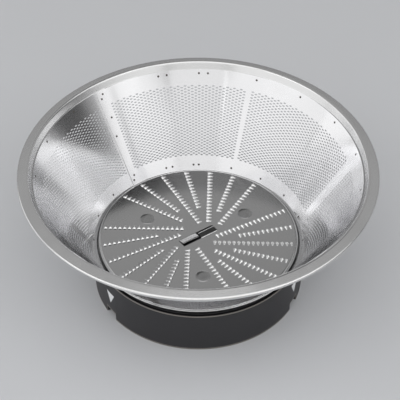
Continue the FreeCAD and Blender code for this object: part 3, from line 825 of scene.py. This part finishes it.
def steel(name, rgb, rough, fineness, haze, spread=0.05, dark=0.86, strength=0.12, depth=0.02 * MM, highlight_rgb=None):
    """Sheet steel: turning marks in its bump, haze in its colour and roughness.

    The last argument, when given, is the colour of a highlight painted on the marked points.
    """
    material, tree, shader = new_material(name, rgb, 1.0)
    finish = add_node(tree, "ShaderNodeGroup", (-560, 0), node_tree=spun_group())
    finish.inputs["Fineness"].default_value = fineness
    finish.inputs["Haze Scale"].default_value = haze
    tone(tree, shader, finish.outputs["Haze"], rgb, dark)
    roughen(tree, shader, finish.outputs["Haze"], rough, spread)
    emboss(tree, shader, finish.outputs["Grain"], strength, depth)
    if highlight_rgb is not None:
        paint_highlight(tree, shader, highlight_rgb)
    return material


def moulded(name, rgb, rough, grain, spread=0.05, dark=0.8, strength=0.25, depth=0.03 * MM, highlight_rgb=None):
    """Moulded plastic or paint: fine skin in its bump, clouds in its colour and roughness.

    The last argument, when given, is the colour of a highlight painted on the marked points.
    """
    material, tree, shader = new_material(name, rgb, 0.0)
    skin = add_node(tree, "ShaderNodeGroup", (-560, 0), node_tree=moulded_group())
    skin.inputs["Grain Scale"].default_value = grain
    tone(tree, shader, skin.outputs["Cloud"], rgb, dark)
    roughen(tree, shader, skin.outputs["Cloud"], rough, spread)
    emboss(tree, shader, skin.outputs["Grain"], strength, depth)
    if highlight_rgb is not None:
        paint_highlight(tree, shader, highlight_rgb)
    return material


class BASKET_OT_rim(bpy.types.Operator):
    """Spun rim: one profile carried round the axis"""

    bl_idname = "basket.rim"
    bl_label = "Rim"

    def execute(self, context):
        scene = context.scene
        finish = scene.basket_finishes
        profile = rim_profile(scene.basket_cone, scene.basket_rim)
        quads = grid_quads(AROUND, len(profile), close_rows=True, close_columns=True)
        material = steel("Spun rim steel", finish.rim, finish.rim_rough, fineness=5000.0, haze=35.0)
        make_piece("rim", lathe(profile, full_turn()), quads, [material], "rim_ring")
        return {"FINISHED"}


class BASKET_OT_cone(bpy.types.Operator):
    """Perforated cone: one panel for each field of holes, the first lapped over the second at the seam"""

    bl_idname = "basket.cone"
    bl_label = "Perforated cone"

    def execute(self, context):
        cone, finish = context.scene.basket_cone, context.scene.basket_finishes
        material = steel("Perforated sheet steel", finish.cone, finish.cone_rough, fineness=2600.0, haze=28.0)
        step = 2 * math.pi / cone.fields
        edge = cone.seam + cone.lap_edge

        def flat(a):
            return np.zeros_like(a)

        def lapped(a):
            near = np.clip((a - edge + cone.lap + cone.lap_ramp) / cone.lap_ramp, 0, 1)
            return (cone.sheet + cone.weld_gap) * near * near * (3 - 2 * near)

        for panel in range(cone.fields):
            low, high = cone.seam + (panel - 1) * step, cone.seam + panel * step
            first = low + (cone.thin_strip if panel == 0 else cone.strip) / 2
            last = high - (cone.thin_strip if panel == cone.fields - 1 else cone.strip) / 2
            if panel == 0:
                high = edge
            if panel == 1:
                low = edge - cone.lap
            points, quads = perforated_panel(cone, low, high, first, last, flat if panel else lapped)
            make_piece(f"cone_panel_{panel + 1}", points, quads, [material], "mesh_cone")
        return {"FINISHED"}


class BASKET_OT_spot_welds(bpy.types.Operator):
    """Spot welds: rings of small craters at the head and foot of the sheet, and a column down the seam"""

    bl_idname = "basket.spot_welds"
    bl_label = "Spot welds"

    def execute(self, context):
        scene = context.scene
        cone, finish = scene.basket_cone, scene.basket_finishes
        turn = full_turn(cone.welds)
        upper = np.append(cone.upper_weld + turn, cone.upper_twins)
        lower = np.append(cone.lower_weld + turn, cone.lower_twins)
        high = cone.sheet_head - cone.weld_inset
        low = scene.basket_disc.flange - cone.weld_inset / 2
        inside = -cone.weld_gap - cone.sheet
        lap_face = inside - cone.sheet - cone.weld_gap
        down = np.array(cone.seam_dots)
        seam = high + (low - high) * down
        near, far = 0.3, 0.55
        across = cone.lap * np.where(np.arange(len(down)) % 2, near, far)
        middle = cone.seam + cone.lap_edge - across
        parts = [
            spot_welds(cone, np.full(len(upper), high), upper, inside, True),
            spot_welds(cone, np.full(len(lower), low), lower, inside, True),
            spot_welds(cone, seam, middle, lap_face, True),
            spot_welds(cone, np.full(len(upper), high), upper, scene.basket_rim.sheet, False),
            spot_welds(cone, np.full(len(lower), low), lower, scene.basket_disc.sheet, False),
        ]
        points, quads = join(parts)
        material = steel("Heat-tinted weld steel", finish.weld, finish.weld_rough, fineness=9000.0,
                         haze=900.0, dark=0.5)
        make_piece("spot_welds", points, quads, [material], "mesh_cone")
        return {"FINISHED"}


class BASKET_OT_disc(bpy.types.Operator):
    """Pan of the grater disc: one profile carried round the axis, with the cutter's slot in its middle"""

    bl_idname = "basket.disc"
    bl_label = "Grater disc"

    def execute(self, context):
        scene = context.scene
        cone, disc, finish = scene.basket_cone, scene.basket_disc, scene.basket_finishes
        hub = disc.slot_length / 2
        profile = pan_profile(cone, disc, hub)
        angles = full_turn()
        points = lathe(profile, angles)
        near_slot = profile[:, 0] < hub + disc.slot_width / 2
        squeeze = np.where(near_slot, (slot_radius(disc, angles) / hub)[:, None], 1.0)
        points[..., :2] *= squeeze[..., None]
        quads = grid_quads(AROUND, len(profile), close_rows=True, close_columns=True)
        material = steel("Pressed disc steel", finish.disc, finish.disc_rough, fineness=1500.0, haze=45.0,
                         spread=0.03, dark=0.9, strength=0.05, highlight_rgb=finish.disc_edge_highlight)
        # Painted highlight: the plateau's rounded edge is marked for the lighter edge colour.
        inside, outside = disc.radius - 0.9 * disc.edge_round, cone.foot_radius
        middle = base_high.z + disc.sheet + 0.5 * disc.depth
        edge = (profile[:, 0] > inside) & (profile[:, 0] < outside) & (profile[:, 1] > middle)
        make_piece("pan", points, quads, [material], "grater_disc", sharp=50.0,
                   painted_highlight=np.tile(edge, AROUND))

        turn = full_turn(disc.studs)
        centres = np.stack([disc.stud_circle * np.cos(turn), disc.stud_circle * np.sin(turn),
                            np.full(disc.studs, disc_top(disc))], -1)
        upright = np.tile([0.0, 0.0, 1.0], (disc.studs, 1))
        points, quads = buttons(centres, upright, mark_section(disc), sides=48)
        tinted = steel("Weld mark steel", finish.mark, finish.mark_rough, fineness=2500.0, haze=300.0,
                       dark=0.7)
        make_piece("weld_marks", points, quads, [tinted], "grater_disc")
        return {"FINISHED"}


class BASKET_OT_teeth(bpy.types.Operator):
    """Grater teeth: one pressed tooth, copied along long and short rows that sweep past the centre"""

    bl_idname = "basket.teeth"
    bl_label = "Grater teeth"

    def execute(self, context):
        disc, finish = context.scene.basket_disc, context.scene.basket_finishes
        shape, quads, slit = tooth_shape(disc, disc_top(disc))
        along, way = tooth_rows(disc).T
        teeth = len(along)
        moved = np.repeat(shape[None], teeth, 0)
        moved[..., 0] += along[:, None]
        # Partly painted highlight: the tooth colour is lighter than the disc steel it is pressed from.
        bright = steel("Tooth steel, lightened for highlights", finish.tooth, finish.tooth_rough, fineness=3000.0, haze=200.0)
        # Painted shade: near-black material on the noses, for the shaded slits under the lips.
        dark = moulded("Painted slit shade", finish.slit_shade, finish.slit_shade_rough, grain=2000.0)
        make_piece("teeth", turned(moved, way), copies(quads, teeth, len(shape)), [bright, dark],
                   "grater_disc", inks=np.tile(slit, teeth))
        return {"FINISHED"}


class BASKET_OT_cutter(bpy.types.Operator):
    """Centre cutter: two flaps of the slot, bent up to opposite sides"""

    bl_idname = "basket.cutter"
    bl_label = "Centre cutter"

    def execute(self, context):
        disc, finish = context.scene.basket_disc, context.scene.basket_finishes
        top = disc_top(disc)
        hinge = -disc.slot_width / 2
        edge = hinge + disc.flap_width
        fall = disc.flap_bevel * disc.flap_rise / disc.flap_width
        below, crisp, keen, bend = 0.1 * MM, 0.08 * MM, 0.06 * MM, 0.5 * MM
        section = rounded([(hinge, top - disc.sheet), (edge, top - disc.sheet + disc.flap_rise),
                           (edge, top + disc.flap_rise - 2 * fall),
                           (edge - disc.flap_bevel, top + disc.flap_rise - fall), (hinge, top)],
                          [below, crisp, crisp, keen, bend], steps=5)
        points, quads = bar(section, disc.flap_gap, disc.slot_length / 2 - disc.flap_gap)
        sides = np.array([0.0, math.pi])
        material = steel("Cutter steel", finish.cutter, finish.cutter_rough, fineness=3000.0, haze=120.0)
        make_piece("cutter_flaps", turned(points, sides), copies(quads, len(sides), len(points)), [material],
                   "grater_disc")
        return {"FINISHED"}


class BASKET_OT_base(bpy.types.Operator):
    """Drive base: moulded cup turned upside down, with a notched foot, a hub and ribs under its web"""

    bl_idname = "basket.base"
    bl_label = "Drive base"

    def execute(self, context):
        scene = context.scene
        base, finish = scene.basket_base, scene.basket_finishes
        profile, foot, edges = base_profile(base)
        angles = notched_turn(base)
        cup = skirt_points(base, profile, foot, angles).reshape(-1, 3)
        cup_quads = outward(cup, grid_quads(len(angles), len(profile), close_rows=True))
        under = base.height - base.web
        low, soft = under - base.rib_depth, base.edge_round
        root = under + soft
        hub_profile = rounded([(0.0, root), (base.hub, root), (base.hub, low), (0.0, low)], [soft, soft],
                              closed=False)
        hub_steps = AROUND // 4
        hub = lathe(hub_profile, full_turn(hub_steps)).reshape(-1, 3)
        hub_quads = outward(hub, grid_quads(hub_steps, len(hub_profile), close_rows=True))
        half = base.rib / 2
        section = rounded([(-half, low), (half, low), (half, root), (-half, root)],
                          [soft, soft, soft / 4, soft / 4], steps=4)
        shoulder = base.radius - base.wall - base.shoulder
        rib, rib_quads = bar(section, base.hub - soft, shoulder + soft)
        ribs = turned(rib, base.rib_angle + full_turn(base.ribs)).reshape(-1, 3)
        ribs_quads = outward(ribs, copies(rib_quads, base.ribs, len(rib)))
        points, quads = join([(cup, cup_quads), (hub, hub_quads), (ribs, ribs_quads)])
        material = moulded("Charcoal moulded plastic", finish.plastic, finish.plastic_rough, grain=2200.0,
                           highlight_rgb=finish.base_edge_highlight)
        # Painted highlight: the skirt's top and foot edges take the lighter edge colour.
        painted_highlight = np.concatenate([np.tile(edges, len(angles)), np.zeros(len(hub) + len(ribs))])
        make_piece("base", points, quads, [material], "drive_base", painted_highlight=painted_highlight)
        return {"FINISHED"}


class BASKET_OT_arrows(bpy.types.Operator):
    """Alignment arrows: curved triangles of white paint on the skirt"""

    bl_idname = "basket.arrows"
    bl_label = "Alignment arrows"

    def execute(self, context):
        base, finish = context.scene.basket_base, context.scene.basket_finishes
        middles = base.first_mark + full_turn(base.marks)
        points, quads = join([arrow_points(base, middle) for middle in middles])
        material = moulded("White arrow paint", finish.paint, finish.paint_rough, grain=1800.0, dark=0.92)
        make_piece("arrows", points, quads, [material], "arrow_marks")
        return {"FINISHED"}


class BASKET_OT_fasteners(bpy.types.Operator):
    """Weld studs and nuts: the solids themselves, in plain steel"""

    bl_idname = "basket.fasteners"
    bl_label = "Studs and nuts"

    def execute(self, context):
        finish = context.scene.basket_finishes
        material = steel("Fastener steel", finish.fastener, finish.fastener_rough, fineness=6000.0,
                         haze=150.0)
        for name in ("weld_studs", "stud_nuts"):
            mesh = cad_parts[name].data
            mesh.materials.clear()
            mesh.materials.append(material)
        return {"FINISHED"}


class BASKET_OT_stage(bpy.types.Operator):
    """Camera, pale floor, grey world and soft lamps"""

    bl_idname = "basket.stage"
    bl_label = "Stage"

    def execute(self, context):
        scene = context.scene
        stage, finish = scene.basket_stage, scene.basket_finishes
        camera = bpy.data.objects.new("camera", bpy.data.cameras.new("camera"))
        camera.data.lens = stage.lens
        camera.location = stage.camera
        camera.rotation_euler = (Vector(stage.aim) - camera.location).to_track_quat("-Z", "Y").to_euler()
        scene.collection.objects.link(camera)
        scene.camera = camera
        scene.view_settings.view_transform = "Standard"
        self.add_floor(scene, stage, finish)
        toward = math.atan2(stage.camera[1], stage.camera[0])
        self.add_world(scene, stage, toward)
        for name, around, up, distance, sides, watts in LAMPS:
            self.add_lamp(scene, name, self.direction(toward, around, up), distance, sides, watts)
        return {"FINISHED"}

    def add_floor(self, scene, stage, finish):
        """Square floor under the base."""
        half = stage.floor / 2
        mesh = bpy.data.meshes.new("floor")
        mesh.from_pydata([(-half, -half, 0), (half, -half, 0), (half, half, 0), (-half, half, 0)], [],
                         [(0, 1, 2, 3)])
        mesh.materials.append(moulded("Pale floor", finish.floor, finish.floor_rough, grain=400.0, dark=0.985,
                                      strength=0.05))
        floor = bpy.data.objects.new("floor", mesh)
        scene.collection.objects.link(floor)

    def add_world(self, scene, stage, toward):
        """Grey room whose light rises from the horizon to the ceiling, with dark openings."""
        world = bpy.data.worlds.new("Grey room")
        world.use_nodes = True
        scene.world = world
        tree = world.node_tree
        link = tree.links.new
        where = add_node(tree, "ShaderNodeTexCoord", (-1000, 0))
        split = add_node(tree, "ShaderNodeSeparateXYZ", (-800, 200))
        link(where.outputs["Generated"], split.inputs[0])
        ceiling_starts, full_dark = 0.5, 0.6
        light = ramp(tree, split.outputs["Z"], (-560, 200), 0.0, ceiling_starts, stage.horizon, stage.ceiling)
        for number, (setting, around, up, size) in enumerate(OPENINGS):
            level = -200 * number
            facing = add_node(tree, "ShaderNodeVectorMath", (-800, level), operation="DOT_PRODUCT")
            facing.inputs[1].default_value = self.direction(toward, around, up)
            link(where.outputs["Generated"], facing.inputs[0])
            inside, outside = math.cos(math.radians(full_dark * size)), math.cos(math.radians(size))
            dark = getattr(stage, setting)
            shade = ramp(tree, facing.outputs["Value"], (-560, level), outside, inside, 1.0, dark)
            both = add_node(tree, "ShaderNodeMath", (-360 + 160 * number, level), operation="MULTIPLY")
            link(light, both.inputs[0])
            link(shade, both.inputs[1])
            light = both.outputs[0]
        link(light, tree.nodes["Background"].inputs["Color"])

    def direction(self, toward, around, up):
        """Unit vector, in degrees round from the camera's direction and up from level."""
        azimuth, rise = toward + math.radians(around), math.radians(up)
        level = math.cos(rise)
        return Vector((level * math.cos(azimuth), level * math.sin(azimuth), math.sin(rise)))

    def add_lamp(self, scene, name, place, distance, sides, watts):
        """Soft lamp of two sides in a direction and at a distance, aimed at the basket."""
        lamp = bpy.data.lights.new(name, "AREA")
        lamp.shape = "RECTANGLE"
        lamp.size, lamp.size_y = sides
        lamp.energy = watts
        holder = bpy.data.objects.new(name, lamp)
        holder.location = place * distance
        holder.rotation_euler = (-place).to_track_quat("-Z", "Y").to_euler()
        scene.collection.objects.link(holder)


OPERATORS = (BASKET_OT_rim, BASKET_OT_cone, BASKET_OT_spot_welds, BASKET_OT_disc, BASKET_OT_teeth,
             BASKET_OT_cutter, BASKET_OT_base, BASKET_OT_arrows, BASKET_OT_fasteners, BASKET_OT_stage)
SIZES = {"basket_cone": ConeSizes, "basket_rim": RimSizes, "basket_disc": DiscSizes,
         "basket_base": BaseSizes, "basket_finishes": Finishes, "basket_stage": StageSizes}


class BASKET_PT_sidebar(bpy.types.Panel):
    """Buttons for the pieces, and the sizes and finishes that they read"""

    bl_idname = "BASKET_PT_sidebar"
    bl_label = "Filter basket"
    bl_space_type = "VIEW_3D"
    bl_region_type = "UI"
    bl_category = "Basket"

    def draw(self, context):
        for operator in OPERATORS:
            self.layout.operator(operator.bl_idname)
        for name, group in SIZES.items():
            box = self.layout.box()
            for key in group.__annotations__:
                box.prop(getattr(context.scene, name), key)


def register():
    """Registers the groups, the operators and the panel."""
    for name, group in SIZES.items():
        bpy.utils.register_class(group)
        setattr(bpy.types.Scene, name, bpy.props.PointerProperty(type=group))
    for kind in (*OPERATORS, BASKET_PT_sidebar):
        bpy.utils.register_class(kind)


def unregister():
    """Takes the panel, the operators and the groups out again."""
    for kind in (BASKET_PT_sidebar, *reversed(OPERATORS)):
        bpy.utils.unregister_class(kind)
    for name, group in SIZES.items():
        delattr(bpy.types.Scene, name)
        bpy.utils.unregister_class(group)


def main():
    """Builds every piece and the stage."""
    register()
    for operator in OPERATORS:
        group, name = operator.bl_idname.split(".")
        getattr(getattr(bpy.ops, group), name)()


if __name__ == "__main__":
    main()
